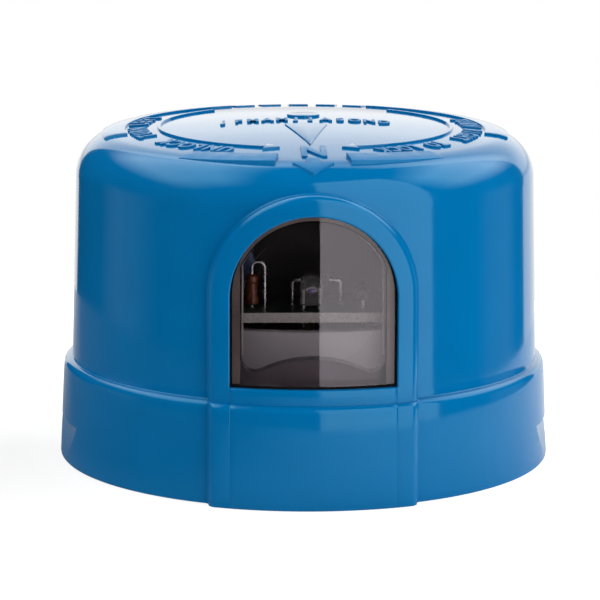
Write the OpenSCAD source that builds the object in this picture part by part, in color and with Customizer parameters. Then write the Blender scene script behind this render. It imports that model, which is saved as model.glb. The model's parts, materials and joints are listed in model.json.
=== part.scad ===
// Twist-lock photocell switch for a street light.
// A moulded cover with an arched window stands over a base that carries three
// locking blades below and a circuit board above.
// Z is up, the window faces -Y, and the origin is the centre of the skirt's rim.

/* [Cover] */
// Diameter of the skirt at its rim
cover_d = 83; // [80:0.5:88]
// Height of the middle of the crowned top above the rim
cover_h = 56.3; // [55:0.1:59]
// Height of the skirt
skirt_h = 16.7; // [16.2:0.1:17.5]
// Step in radius from the skirt to the dome above it
skirt_step = 1.4; // [1.2:0.1:1.8]
// Wall thickness of the cover
wall = 2.1; // [1.9:0.1:2.3]
// Radius of the rounded edge round the top
top_round = 7.2; // [6.4:0.1:8]
// Height of the raised marks on the top
mark_h = 0.35; // [0.25:0.05:0.5]

/* [Window] */
// Width of the window opening
window_w = 26.6; // [25:0.2:27.4]
// Height of the window opening from its sill to the crown of its arch
window_h = 27.6; // [26.6:0.2:28.4]
// Height of the sill above the skirt
sill_h = 2.5; // [2.2:0.1:2.8]
// Width of the raised frame round the opening
frame_w = 3.4; // [3:0.1:4]
// How far the frame stands out from the dome
frame_raise = 2; // [1.6:0.1:2.4]
// How far the window lies behind the face of the frame
window_inset = 0.9; // [0.6:0.1:1.2]

/* [Plug] */
// Thickness of the gasket
gasket_t = 3; // [2.6:0.1:3.4]
// Thickness of the brass blades
blade_t = 1.5; // [1.3:0.1:1.6]
// Diameter of the circle on which the blades stand
blade_ring_d = 27.2; // [26.4:0.2:28]

/* [Board] */
// Thickness of the circuit board
board_t = 1.6; // [1.4:0.1:1.8]
// Height of the board's lower face above the floor of the base
board_gap = 7.9; // [7.4:0.1:8.6]
// Gap between the circuit board's edge and the outer face of the base's cup
board_inset = 0.6; // [0.4:0.1:1]

/* [Hidden] */
$fn = 96;

// Cover
skirt_draft = 2.5;
dome_draft = 1.5;
skirt_edge = 1.2;
rim_r = cover_d / 2;
skirt_top_r = rim_r - skirt_h * tan(skirt_draft);
dome_r = skirt_top_r - skirt_step;
skirt_wall = 2.3;
skirt_in_r = rim_r - skirt_wall;
shelf_drop = 1.7;
shelf_z = skirt_h - shelf_drop;
front_margin = 10;
front_reach = rim_r + front_margin;

// Crown of the top, and the centre of the rounded edge that joins it to the dome's wall
crown_r = 320;
crown_z = cover_h - crown_r;
wall_lean = tan(dome_draft);
lean_sq = 1 + pow(wall_lean, 2);
round_reach = dome_r + skirt_h * wall_lean - top_round / cos(dome_draft);
round_half = round_reach * wall_lean + crown_z;
round_rest = pow(round_reach, 2) + pow(crown_z, 2) - pow(crown_r - top_round, 2);
round_z = (round_half + sqrt(pow(round_half, 2) - lean_sq * round_rest)) / lean_sq;
round_r = round_reach - wall_lean * round_z;
round_to = atan2(round_z - crown_z, round_r);

// Window and its frame
window_half = window_w / 2;
sill_z = skirt_h + sill_h;
arch_z = sill_z + window_h - window_half;
frame_half = window_half + frame_w;
skirt_raise = 1.8;
window_gap = 0.08;
flange_w = 1.5;
flange_t = 1;
pane_t = 1.5;
pocket_side = 2;
pocket_top = 1;
pocket_corner = 2.2;
pocket_foot = 2.3;
pocket_rise = 2.3;
ring_r = 11;
ring_depth = 0.15;

// Marks on the top, as angles from the front and radii from the axis
mark_low = round_z;
mark_reach = cover_h + 1 - mark_low;
turn_r = 24.6;
turn_w = 0.6;
turn_from = 17;
turn_to = 142;
head_len = 2.3;
head_w = 3.2;
ridge_r0 = 30.3;
ridge_r1 = 34.2;
pad_from = 10.3;
pad_to = 38.5;
pad_high = 0.65;
pad_low = 0.1;
pad_mid_r = (ridge_r0 + ridge_r1) / 2;
pad_mid_h = (pad_high + pad_low) / 2;
pad_mid_z = crown_z + sqrt(pow(crown_r + pad_mid_h, 2) - pow(pad_mid_r, 2));
pad_mid = (pad_from + pad_to) / 2;
pad_tilt = atan2(pad_high - pad_low, pad_mid_r * (pad_to - pad_from) * PI / 180);
ridge_from = 79;
ridge_to = 157;
dash_half = 3.2;
dash_pitch = 9;
needle_tip = 22;
needle_foot = 3.8;
needle_w = 7;
sun_y = 7.6;
sun_r = 2.8;
pointer_half = 3.3;
pointer_y = 33.9;
pointer_tip = 36.3;
stem_half = 1.1;
stem_y = 31.9;

// Pry pockets at the rim
pry_angle = 80.5;
pry_h = 7;
pry_rise = 0.3;
pry_depth = 1.2;
pry_half = 12;

// Snap beads that hold the base up against the shelf
bead_angles = [25, 155, 205, 335];
bead_span = 18;
bead_h = 1;
bead_t = 0.5;

// Base
base_fit = 0.2;
flange_h = 1.5;
flange_z = shelf_z - flange_h;
gasket_z = shelf_z + 0.2;
floor_z = gasket_z + gasket_t;
floor_t = 2.2;
floor_top = floor_z + floor_t;
cup_gap = 0.7;
cup_r = dome_r - wall - flange_t - cup_gap;
cup_wall = 1.8;
cup_rim_h = board_gap - 0.8;
board_r = cup_r - board_inset;
gasket_r1 = cup_r - cup_wall - 0.2;
hub_r = 21.5;
gasket_r0 = hub_r + 0.2;
post_r = 2.8;
post_ring = board_r - 5.5;
post_angles = [90, 215, 325];
screw_r = 1.2;
screw_len = 5.5;
screw_head_r = 2.3;
screw_head_h = 1.6;
screw_slot = 0.6;

// Blades
blade_mid_r = blade_ring_d / 2;
blade_r0 = blade_mid_r - blade_t / 2;
blade_r1 = blade_mid_r + blade_t / 2;
blade_low_z = 1;
foot_h = 5.5;
neck_deg = 24;
foot_deg = 40;
neutral_extra_deg = 10;
tab_deg = 9;
tab_reach = 1.4;
blade_slack = 0.05;
blade_slack_deg = 0.25;
neutral_angle = 0;
line_angle = 120;
load_angle = 240;

// Circuit board
board_z = floor_top + board_gap;
board_top = board_z + board_t;
board_cut = 3.5;
board_front = board_r - board_cut;
lead_r = 0.3;
hole_r = 0.4;
pin_r = 0.5;
pin_hole_r = 0.6;
lead_tail = 1.2;
bend_r = 0.7;
solder_r = 0.9;
solder_h = 0.8;

// Bay between the board's front edge and the light shield, which stands clear of the neutral blade
shield_t = 1.2;
shield_gap = 1.3;
shield_y = -(blade_r1 + shield_gap);
bay_mid = (shield_y - shield_t / 2 - board_front) / 2;

// Light sensor, a flat side-looking package with a lens on its front
sensor_in = 2.7;
sensor_y = sensor_in - board_front;
sensor_w = 3.6;
sensor_d = 2.2;
sensor_h = 4.9;
sensor_lift = 0.9;
sensor_lens_r = 1.25;
sensor_lens_z = 3.1;
sensor_pitch = 2.54;

// Other parts on the board
relay_at = [0, 17];
relay_size = [19, 15.5, 15.4];
relay_lift = 0.3;
relay_edge = 0.8;
relay_foot_r = 0.7;
relay_feet_at = [8.5, 3];
relay_pins_at = [[-7.5, -6], [-7.5, 6], [7.5, -6], [7.5, 6], [7.5, 0]];
varistor_x = -13.5;
varistor_back = 3.6;
varistor_at = [varistor_x, bay_mid + varistor_back];
varistor_r = 4.6;
varistor_t = 3.6;
varistor_lift = 2;
varistor_pitch = 5;
coat_r = 0.65;
coat_run = 0.8;
film_in = 14;
film_y = 10;
film_at = [board_r - film_in, film_y];
film_size = [8, 18, 14];
film_lift = 0.3;
film_edge = 0.7;
film_pitch = 15;
filter_in = 13.5;
filter_y = 10;
filter_at = [filter_in - board_r, filter_y];
filter_r = 5;
filter_h = 12.5;
filter_pitch = 2;
bypass_in = 12;
bypass_y = -5;
bypass_at = [bypass_in - board_r, bypass_y];
bypass_r = 3.2;
bypass_h = 8;
bypass_pitch = 2;
can_lift = 0.3;
can_edge = 0.5;
can_groove = 0.4;
can_groove_z = 1.6;
can_groove_w = 0.3;
sense_x = -9.4;
sense_in = 5;
sense_at = [sense_x, sense_in - board_front];
sense_r = 0.85;
sense_len = 5;
sense_lift = 0.4;
sense_pitch = 2;
diode_x = 1;
diode_in = 7;
diode_at = [diode_x, diode_in - board_front];
diode_span = 7.8;
diode_lift = 4;
diode_r = 0.95;
diode_len = 4;
load_x = [8.2, 13];
load_back = [-1.6, 0.9];
load_at = [for (i = [0:1]) [load_x[i], bay_mid + load_back[i]]];
load_span = 8;
load_lift = 2;
load_r = 1.2;
load_len = 5;
load_turn = 90;
rectifier_pitch = 3.5;
rectifier_in = 18.5;
rectifier_x = [for (i = [0:3]) board_r - rectifier_in + i * rectifier_pitch];
rectifier_y = -6.5;
rectifier_span = 10;
rectifier_lift = 1.6;
rectifier_r = 1.3;
rectifier_len = 5;
transistor_at = [5.5, -6.5];
transistor_r = 2.3;
transistor_h = 4.6;
transistor_lift = 2;
transistor_flat = 1.3;
transistor_pitch = 1.27;

// Light shield, a screen across the board behind the parts that the window shows
shield_half = 19;
shield_clear = 3;
shield_h = cover_h - wall - shield_clear - board_top;
shield_corner = 4;
shield_foot = 2.6;
shield_foot_t = 1;
shield_foot_from = 6;
shield_rib_x = 12;
shield_rib_h = 9;
peg_x = 17;
peg_r = 0.6;
peg_hole_r = 0.65;
peg_tail = 0.8;

// Colours
blue = [0, 0.37, 0.63];
smoke = [0.33, 0.3, 0.31, 0.6];
pale_grey = [0.8, 0.8, 0.79];
rubber = [0.16, 0.16, 0.17];
brass = [0.8, 0.64, 0.32];
board_green = [0.12, 0.32, 0.2];
tin = [0.75, 0.75, 0.76];
black = [0.07, 0.07, 0.08];
tan_body = [0.62, 0.36, 0.2];

// Points on an arc round c, from angle a0 to angle a1, with the first few left out if need be
function arc_points(c, r, a0, a1, n, first = 0) =
    [for (i = [first:n]) let (a = a0 + (a1 - a0) * i / n) [c[0] + r * cos(a), c[1] + r * sin(a)]];

// Radius of the dome's wall at height z
function dome_r_at(z) = dome_r - (z - skirt_h) * tan(dome_draft);

// Half section of the dome, grown outwards all over by grow, down to height low
function dome_section(grow, low) = concat(
    [[0, low], [dome_r_at(low) + grow / cos(dome_draft), low]],
    arc_points([round_r, round_z], top_round + grow, dome_draft, round_to, 16),
    arc_points([0, crown_z], crown_r + grow, round_to, 90, 12, 1));

// Half section of the skirt, grown in radius by grow
function skirt_section(grow) = concat(
    [[0, 0], [rim_r + grow, 0]],
    arc_points([skirt_top_r + grow - skirt_edge / cos(skirt_draft), skirt_h - skirt_edge],
        skirt_edge, skirt_draft, 90, 6),
    [[0, skirt_h]]);

// Places of the leads of each part, in plan
function pair_at(at, pitch, turn) =
    [for (s = [-1, 1]) at + s * pitch / 2 * [cos(turn), sin(turn)]];
sensor_holes = pair_at([0, sensor_y], sensor_pitch, 0);
varistor_holes = pair_at(varistor_at, varistor_pitch, 0);
film_holes = pair_at(film_at, film_pitch, 90);
filter_holes = pair_at(filter_at, filter_pitch, 0);
bypass_holes = pair_at(bypass_at, bypass_pitch, 0);
sense_holes = pair_at(sense_at + [sense_pitch / 2, 0], sense_pitch, 0);
diode_holes = pair_at(diode_at, diode_span, 0);
load_holes = [for (p = load_at) each pair_at(p, load_span, load_turn)];
rectifier_holes = [for (x = rectifier_x) each pair_at([x, rectifier_y], rectifier_span, 90)];
transistor_holes = [for (i = [-1:1]) transistor_at + i * [transistor_pitch, 0]];
relay_holes = [for (p = relay_pins_at) relay_at + p];
lead_holes = concat(sensor_holes, varistor_holes, film_holes, filter_holes, bypass_holes,
    sense_holes, diode_holes, load_holes, rectifier_holes, transistor_holes);

module dome_solid(grow, low) {
    rotate_extrude() polygon(dome_section(grow, low));
}

module skirt_solid(grow) {
    rotate_extrude() polygon(skirt_section(grow));
}

// A ring, or part of one that is centred on angle mid from the front
module ring(r0, r1, z0, z1) {
    rotate_extrude() translate([r0, z0]) square([r1 - r0, z1 - z0]);
}

module ring_part(r0, r1, z0, z1, from, to) {
    rotate([0, 0, from - 90])
        rotate_extrude(angle = to - from) translate([r0, z0]) square([r1 - r0, z1 - z0]);
}

// An upright outline pushed through the front of the cover
module through_front() {
    rotate([90, 0, 0]) linear_extrude(front_reach) children();
}

module arch_outline(half, low) {
    translate([0, arch_z]) circle(half);
    translate([-half, low]) square([2 * half, arch_z - low]);
}

module drum(r, h) {
    cylinder(r = r, h = h);
}

// Cover: one blue moulding with the window's frame, the raised marks and the pry pockets
module mark_plan() {
    translate([0, 0, mark_low]) linear_extrude(mark_reach) children();
}

module mark_ring(from, to) {
    ring_part(ridge_r0, ridge_r1, mark_low, mark_low + mark_reach, from, to);
}

module turn_arrow() {
    ring_part(turn_r - turn_w / 2, turn_r + turn_w / 2, mark_low, mark_low + mark_reach,
        turn_from, turn_to);
    rotate([0, 0, turn_from - 90]) translate([turn_r, 0, 0])
        mark_plan() polygon([[-head_w / 2, 0.2], [head_w / 2, 0.2], [0, -head_len]]);
}

module side_marks() {
    turn_arrow();
    mark_ring(ridge_from, ridge_to);
}

// A pad beside the pointer: its top slopes down to the end that is away from the front
module pad() {
    intersection() {
        mark_ring(pad_from, pad_to);
        rotate([0, 0, pad_mid - 90]) translate([pad_mid_r, 0, pad_mid_z]) rotate([-pad_tilt, 0, 0])
            translate([-pad_mid_r, 0, -pad_mid_z]) dome_solid(pad_mid_h, mark_low);
    }
}

// A short arrow over the rounded edge, in line with the window
module front_pointer() {
    mark_plan() polygon([[-stem_half, -stem_y], [-stem_half, -pointer_y], [-pointer_half, -pointer_y],
        [0, -pointer_tip], [pointer_half, -pointer_y], [stem_half, -pointer_y], [stem_half, -stem_y]]);
}

// The other marks stand the same height above the crown and the rounded edge
module top_marks() {
    pad();
    mirror([1, 0, 0]) pad();
    intersection() {
        dome_solid(mark_h, mark_low);
        union() {
            side_marks();
            mirror([1, 0, 0]) side_marks();
            for (i = [-2:2])
                mark_ring(180 + i * dash_pitch - dash_half, 180 + i * dash_pitch + dash_half);
            mark_plan() polygon([[-needle_w / 2, -needle_foot], [0, -needle_tip],
                [needle_w / 2, -needle_foot]]);
            mark_plan() translate([0, sun_y]) circle(sun_r);
            front_pointer();
        }
    }
}

module window_frame() {
    intersection() {
        dome_solid(frame_raise, 0);
        through_front() arch_outline(frame_half, 0);
    }
    intersection() {
        skirt_solid(skirt_raise);
        through_front() translate([-frame_half, 0]) square([2 * frame_half, skirt_h]);
    }
}

module pry_pocket() {
    rotate([0, 0, pry_angle - 90]) translate([0, pry_half, 0]) rotate([90, 0, 0])
        linear_extrude(2 * pry_half)
            polygon([[rim_r, pry_rise], [rim_r - pry_depth, pry_h],
                [rim_r + pry_depth, pry_h], [rim_r + pry_depth, pry_rise]]);
}

module cover() {
    color(blue) {
        difference() {
            union() {
                skirt_solid(0);
                dome_solid(0, skirt_h - 2);
                window_frame();
                top_marks();
            }
            dome_solid(-wall, shelf_z - 1);
            translate([0, 0, -1]) drum(skirt_in_r, shelf_z + 1);
            through_front() arch_outline(window_half, sill_z);
            pry_pocket();
            mirror([1, 0, 0]) pry_pocket();
        }
        for (a = bead_angles)
            ring_part(skirt_in_r - bead_t, skirt_in_r + wall / 2, flange_z - bead_h, flange_z,
                a - bead_span / 2, a + bead_span / 2);
    }
}

// Window: smoked pane with a thick rim, a pocket at its back and a flange behind the wall
// The foot of the pocket has a rounded lobe at each side and a hump between them
module pocket_outline() {
    half = window_half - pocket_side;
    crown_r = window_half - pocket_top;
    crown_from = acos(half / crown_r);
    low = sill_z + pocket_foot;
    lobe_x = half - pocket_corner;
    hump_r = (pow(lobe_x, 2) + pow(pocket_corner - pocket_rise, 2) - pow(pocket_corner, 2))
        / (2 * pocket_rise);
    hump_z = low + pocket_rise - hump_r;
    lean = atan2(low + pocket_corner - hump_z, lobe_x);
    polygon(concat(
        arc_points([0, arch_z], crown_r, crown_from, 180 - crown_from, 24),
        arc_points([-lobe_x, low + pocket_corner], pocket_corner, 180, 360 - lean, 10),
        arc_points([0, hump_z], hump_r, 180 - lean, lean, 16),
        arc_points([lobe_x, low + pocket_corner], pocket_corner, 180 + lean, 360, 10)));
}

module window() {
    face = frame_raise - window_inset;
    color(smoke) difference() {
        union() {
            intersection() {
                dome_solid(face, 0);
                through_front() arch_outline(window_half - window_gap, sill_z + window_gap);
            }
            intersection() {
                dome_solid(-wall, 0);
                through_front() arch_outline(window_half + flange_w, sill_z - flange_w);
            }
        }
        dome_solid(-wall - flange_t, -1);
        intersection() {
            dome_solid(face - pane_t, -1);
            through_front() pocket_outline();
        }
        intersection() {
            dome_solid(face - pane_t + ring_depth, -1);
            through_front() intersection() {
                pocket_outline();
                translate([0, arch_z]) circle(ring_r);
            }
        }
    }
}

// Base: an upturned tray that holds the blades, with a cup and posts for the board above
module base() {
    color(pale_grey) difference() {
        union() {
            ring(cup_r - cup_wall, skirt_in_r - base_fit, flange_z, shelf_z);
            ring(cup_r - cup_wall, cup_r, flange_z, floor_top + cup_rim_h);
            translate([0, 0, floor_z]) drum(cup_r - 0.5, floor_t);
            translate([0, 0, gasket_z]) drum(hub_r, gasket_t + 0.5);
            for (a = post_angles) rotate([0, 0, a]) translate([post_ring, 0, floor_top - 1])
                drum(post_r, board_gap + 1);
        }
        for (a = post_angles) rotate([0, 0, a])
            translate([post_ring, 0, board_top - screw_len]) drum(screw_r, screw_len);
        blade_slot(neutral_angle, neck_deg + neutral_extra_deg);
        blade_slot(line_angle, neck_deg);
        blade_slot(load_angle, neck_deg);
    }
}

module blade_slot(angle, span) {
    ring_part(blade_r0 - blade_slack, blade_r1 + blade_slack, gasket_z - 1, floor_top + 1,
        angle - span / 2 - blade_slack_deg, angle + span / 2 + blade_slack_deg);
}

module base_gasket() {
    color(rubber) ring(gasket_r0, gasket_r1, gasket_z, floor_z);
}

// Blades: a foot that hooks sideways, a neck through the base and a tab up to the board
module wedge(z0, z1, from, to) {
    reach = 2 * blade_r1;
    rotate([0, 0, from - 90]) translate([0, 0, z0]) linear_extrude(z1 - z0)
        polygon([[0, 0], [reach, 0], reach * [cos(to - from), sin(to - from)]]);
}

module blade(angle, span, foot) {
    low = angle - span / 2;
    neck_z = blade_low_z + foot_h;
    color(brass) intersection() {
        ring(blade_r0, blade_r1, blade_low_z, board_top + tab_reach);
        union() {
            wedge(blade_low_z, neck_z, low, low + foot);
            wedge(neck_z, floor_top, low, low + span);
            wedge(floor_top, board_top + tab_reach, angle - tab_deg / 2, angle + tab_deg / 2);
        }
    }
}

module blade_neutral() {
    blade(neutral_angle, neck_deg + neutral_extra_deg, foot_deg + neutral_extra_deg);
}

module blade_line() {
    blade(line_angle, neck_deg, foot_deg);
}

module blade_load() {
    blade(load_angle, neck_deg, foot_deg);
}

// Circuit board with a straight front edge behind the window
module circuit_board() {
    color(board_green) translate([0, 0, board_z]) difference() {
        drum(board_r, board_t);
        translate([-board_r, -2 * board_r, -1]) cube([2 * board_r, 2 * board_r - board_front, board_t + 2]);
        translate([0, 0, -1]) {
            for (p = lead_holes) translate(p) drum(hole_r, board_t + 2);
            for (p = relay_holes) translate(p) drum(pin_hole_r, board_t + 2);
            for (s = [-1, 1]) translate([s * peg_x, shield_y]) drum(peg_hole_r, board_t + 2);
            for (a = post_angles) rotate([0, 0, a]) translate([post_ring, 0]) drum(screw_r, board_t + 2);
            for (a = [neutral_angle, line_angle, load_angle])
                ring_part(blade_r0 - blade_slack, blade_r1 + blade_slack, 0, board_t + 2,
                    a - tab_deg / 2 - blade_slack_deg, a + tab_deg / 2 + blade_slack_deg);
        }
    }
}

module board_screws() {
    color(tin) for (a = post_angles) rotate([0, 0, a]) translate([post_ring, 0, board_top]) {
        difference() {
            drum(screw_head_r, screw_head_h);
            for (turn = [0, 90]) rotate([0, 0, turn])
                translate([-screw_head_r * 0.6, -screw_slot / 2, screw_head_h * 0.4])
                    cube([screw_head_r * 1.2, screw_slot, screw_head_h]);
        }
        translate([0, 0, 0.5 - screw_len]) drum(screw_r, screw_len - 0.5);
    }
}

module solder_joint(p, r, hole) {
    translate([p[0], p[1], board_z - solder_h]) difference() {
        cylinder(r1 = r * 1.3, r2 = hole + solder_r - lead_r, h = solder_h);
        translate([0, 0, -1]) drum(r, solder_h + 2);
    }
}

module solder_joints() {
    color(tin) {
        for (p = lead_holes) solder_joint(p, lead_r, hole_r);
        for (p = relay_holes) solder_joint(p, pin_r, pin_hole_r);
    }
}

// Leads: straight ones up to height top, and staples that carry a body lying flat
module straight_leads(places, r, top) {
    color(tin) for (p = places) translate([p[0], p[1], board_z - lead_tail])
        drum(r, top - board_z + lead_tail);
}

module staple_leads(at, span, lift, body_len, turn) {
    rise = board_top + lift - bend_r;
    run = (span - body_len) / 2 - bend_r;
    color(tin) translate([at[0], at[1], 0]) rotate([0, 0, turn]) for (s = [0, 180])
        rotate([0, 0, s]) translate([span / 2, 0, 0]) {
            translate([0, 0, board_z - lead_tail]) drum(lead_r, rise - board_z + lead_tail);
            translate([-bend_r, 0, rise]) rotate([90, 0, 0])
                rotate_extrude(angle = 90) translate([bend_r, 0]) circle(lead_r);
            translate([-bend_r, 0, rise + bend_r]) rotate([0, -90, 0]) drum(lead_r, run);
        }
}

// A round body lying flat on its leads, a little fuller at its ends where ends is above 0
module axial_body(at, lift, r, len, turn, ends) {
    translate([at[0], at[1], board_top + lift]) rotate([0, 0, turn]) rotate([0, 90, 0])
        rotate_extrude() polygon(concat([[0, -len / 2]],
            [[r - 0.3, -len / 2], [r + ends, -len / 2 + 0.3], [r + ends, -len / 2 + 1.1],
            [r, -len / 2 + 1.5], [r, len / 2 - 1.5], [r + ends, len / 2 - 1.1],
            [r + ends, len / 2 - 0.3], [r - 0.3, len / 2]], [[0, len / 2]]));
}

// Light sensor
module sensor_outline() {
    square([sensor_w, sensor_h - sensor_w / 2]);
    translate([sensor_w / 2, sensor_h - sensor_w / 2]) circle(sensor_w / 2);
}

module light_sensor() {
    color(smoke) translate([0, sensor_y, board_top + sensor_lift]) {
        translate([-sensor_w / 2, sensor_d / 2, 0]) rotate([90, 0, 0])
            linear_extrude(sensor_d) sensor_outline();
        translate([0, -sensor_d / 2 + 0.3, sensor_lens_z]) sphere(sensor_lens_r);
    }
}

module sensor_leads() {
    straight_leads(sensor_holes, lead_r, board_top + sensor_lift);
}

// Relay
module edged_box(size, edge) {
    x = size[0] / 2;
    y = size[1] / 2;
    linear_extrude(size[2])
        polygon([[-x + edge, -y], [x - edge, -y], [x, -y + edge], [x, y - edge],
            [x - edge, y], [-x + edge, y], [-x, y - edge], [-x, -y + edge]]);
}

module relay() {
    color(black) translate([relay_at[0], relay_at[1], board_top + relay_lift])
        edged_box(relay_size, relay_edge);
    color(black) for (x = [-1, 1], y = [-1, 1])
        translate([relay_at[0] + x * relay_feet_at[0], relay_at[1] + y * relay_feet_at[1], board_top])
            drum(relay_foot_r, relay_lift);
}

module relay_pins() {
    straight_leads(relay_holes, pin_r, board_top + relay_lift);
}

// Varistor: a coated disc on edge, with its coating run a little way down the leads
module varistor() {
    edge = 0.9;
    flat = varistor_t / 2;
    middle = board_top + varistor_lift + varistor_r;
    color(blue) {
        translate([varistor_at[0], varistor_at[1], middle]) rotate([90, 0, 0]) rotate_extrude()
            polygon([[0, -flat], [varistor_r - edge, -flat], [varistor_r - edge * 0.3, -flat + edge * 0.3],
                [varistor_r, -flat + edge], [varistor_r, flat - edge],
                [varistor_r - edge * 0.3, flat - edge * 0.3], [varistor_r - edge, flat], [0, flat]]);
        for (p = varistor_holes) translate([p[0], p[1], board_top + varistor_lift - coat_run])
            drum(coat_r, varistor_r + coat_run);
    }
}

module varistor_leads() {
    straight_leads(varistor_holes, lead_r, board_top + varistor_lift - coat_run);
}

// Capacitors
module film_capacitor() {
    color(tan_body) translate([film_at[0], film_at[1], board_top + film_lift])
        edged_box(film_size, film_edge);
    color(tan_body) for (y = [-1, 1])
        translate([film_at[0] - film_size[0] * 0.3, film_at[1] + y * film_size[1] * 0.3, board_top])
            cube([film_size[0] * 0.6, 1, film_lift]);
}

module film_capacitor_leads() {
    straight_leads(film_holes, lead_r, board_top + film_lift);
}

module can(at, r, h) {
    color(black) translate([at[0], at[1], board_top]) rotate_extrude()
        polygon([[0, can_lift], [r * 0.6, can_lift], [r * 0.6, 0], [r - can_edge, 0], [r, can_edge],
            [r, can_groove_z], [r - can_groove, can_groove_z + can_groove],
            [r - can_groove, can_groove_z + can_groove + can_groove_w],
            [r, can_groove_z + 2 * can_groove + can_groove_w], [r, h - can_edge], [r - can_edge, h], [0, h]]);
}

module filter_capacitor() {
    can(filter_at, filter_r, filter_h);
}

module filter_capacitor_leads() {
    straight_leads(filter_holes, lead_r, board_top + can_lift);
}

module bypass_capacitor() {
    can(bypass_at, bypass_r, bypass_h);
}

module bypass_capacitor_leads() {
    straight_leads(bypass_holes, lead_r, board_top + can_lift);
}

// Sense resistor: stands on end, with its upper lead bent over and down beside it
module sense_resistor() {
    color(tan_body) translate([sense_at[0], sense_at[1], board_top + sense_lift + sense_len / 2])
        rotate([0, 90, 0]) axial_at_origin(sense_r, sense_len, 0.2);
}

module axial_at_origin(r, len, ends) {
    translate([0, 0, -board_top]) axial_body([0, 0], 0, r, len, 0, ends);
}

module sense_resistor_leads() {
    body_top = board_top + sense_lift + sense_len;
    bend = sense_pitch / 2;
    color(tin) {
        translate([sense_at[0], sense_at[1], board_z - lead_tail])
            drum(lead_r, board_t + sense_lift + lead_tail);
        translate([sense_at[0], sense_at[1], body_top]) drum(lead_r, 1);
        translate([sense_at[0] + bend, sense_at[1], body_top + 1]) rotate([90, 0, 0])
            rotate_extrude(angle = 180) translate([bend, 0]) circle(lead_r);
        translate([sense_at[0] + sense_pitch, sense_at[1], board_z - lead_tail])
            drum(lead_r, body_top + 1 - board_z + lead_tail);
    }
}

// Signal diode, raised on its leads behind the sensor
module signal_diode() {
    color(black) axial_body(diode_at, diode_lift, diode_r, diode_len, 0, 0);
}

module signal_diode_leads() {
    staple_leads(diode_at, diode_span, diode_lift, diode_len, 0);
}

module load_resistors() {
    color(tan_body) for (p = load_at) axial_body(p, load_lift, load_r, load_len, load_turn, 0.2);
}

module load_resistor_leads() {
    for (p = load_at) staple_leads(p, load_span, load_lift, load_len, load_turn);
}

module rectifier_diodes() {
    color(black) for (x = rectifier_x)
        axial_body([x, rectifier_y], rectifier_lift, rectifier_r, rectifier_len, 90, 0);
}

module rectifier_diode_leads() {
    for (x = rectifier_x)
        staple_leads([x, rectifier_y], rectifier_span, rectifier_lift, rectifier_len, 90);
}

module transistor() {
    color(black) translate([transistor_at[0], transistor_at[1], board_top + transistor_lift])
        difference() {
            drum(transistor_r, transistor_h);
            translate([-transistor_r, -transistor_r - transistor_flat, -1])
                cube([2 * transistor_r, transistor_r, transistor_h + 2]);
        }
}

module transistor_leads() {
    straight_leads(transistor_holes, lead_r * 0.8, board_top + transistor_lift);
}

// Light shield: an upright screen on two feet with ribs, pegged into the board
module light_shield() {
    half = shield_half;
    top = shield_h;
    color(black) translate([0, shield_y, board_top]) {
        translate([0, shield_t / 2, 0]) rotate([90, 0, 0]) linear_extrude(shield_t)
            polygon([[-half, 0], [half, 0], [half, top - shield_corner], [half - shield_corner, top],
                [shield_corner - half, top], [-half, top - shield_corner]]);
        for (s = [-1, 1]) {
            translate([s * (half + shield_foot_from) / 2, shield_foot / 2, shield_foot_t / 2])
                cube([half - shield_foot_from, shield_foot, shield_foot_t], center = true);
            translate([s * shield_rib_x - shield_t / 2, 0, 0]) rotate([90, 0, 90])
                linear_extrude(shield_t) polygon([[0, 0], [shield_foot, 0], [0, shield_rib_h]]);
            translate([s * peg_x, 0, -board_t - peg_tail]) drum(peg_r, board_t + peg_tail + shield_foot_t);
        }
    }
}

cover();
window();
base();
base_gasket();
blade_neutral();
blade_line();
blade_load();
circuit_board();
board_screws();
solder_joints();
light_sensor();
sensor_leads();
relay();
relay_pins();
varistor();
varistor_leads();
film_capacitor();
film_capacitor_leads();
filter_capacitor();
filter_capacitor_leads();
bypass_capacitor();
bypass_capacitor_leads();
sense_resistor();
sense_resistor_leads();
signal_diode();
signal_diode_leads();
load_resistors();
load_resistor_leads();
rectifier_diodes();
rectifier_diode_leads();
transistor();
transistor_leads();
light_shield();
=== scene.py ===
# Twist-lock photocell switch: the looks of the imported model, in a plain studio.
import json
import math

import bmesh
import bpy
from mathutils import Matrix, Vector

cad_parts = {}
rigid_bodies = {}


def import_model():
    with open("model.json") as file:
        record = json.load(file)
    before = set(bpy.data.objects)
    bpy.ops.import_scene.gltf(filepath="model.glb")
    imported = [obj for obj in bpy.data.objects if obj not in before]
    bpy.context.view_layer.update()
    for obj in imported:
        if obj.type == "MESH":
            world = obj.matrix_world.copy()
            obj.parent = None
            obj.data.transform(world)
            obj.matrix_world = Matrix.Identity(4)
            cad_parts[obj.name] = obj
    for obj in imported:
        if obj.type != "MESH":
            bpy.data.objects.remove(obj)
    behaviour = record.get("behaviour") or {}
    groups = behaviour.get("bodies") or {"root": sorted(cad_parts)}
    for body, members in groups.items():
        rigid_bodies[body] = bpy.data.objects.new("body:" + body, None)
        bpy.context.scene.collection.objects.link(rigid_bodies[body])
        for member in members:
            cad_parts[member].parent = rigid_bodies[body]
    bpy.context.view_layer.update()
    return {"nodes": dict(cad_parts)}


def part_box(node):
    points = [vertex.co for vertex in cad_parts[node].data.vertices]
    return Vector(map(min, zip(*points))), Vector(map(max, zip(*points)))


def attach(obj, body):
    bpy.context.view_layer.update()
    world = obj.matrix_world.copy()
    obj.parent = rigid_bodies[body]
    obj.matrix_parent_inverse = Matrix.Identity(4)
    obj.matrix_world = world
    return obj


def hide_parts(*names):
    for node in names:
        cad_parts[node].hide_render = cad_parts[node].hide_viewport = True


for leftover in list(bpy.data.objects):
    bpy.data.objects.remove(leftover)
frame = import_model()

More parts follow.
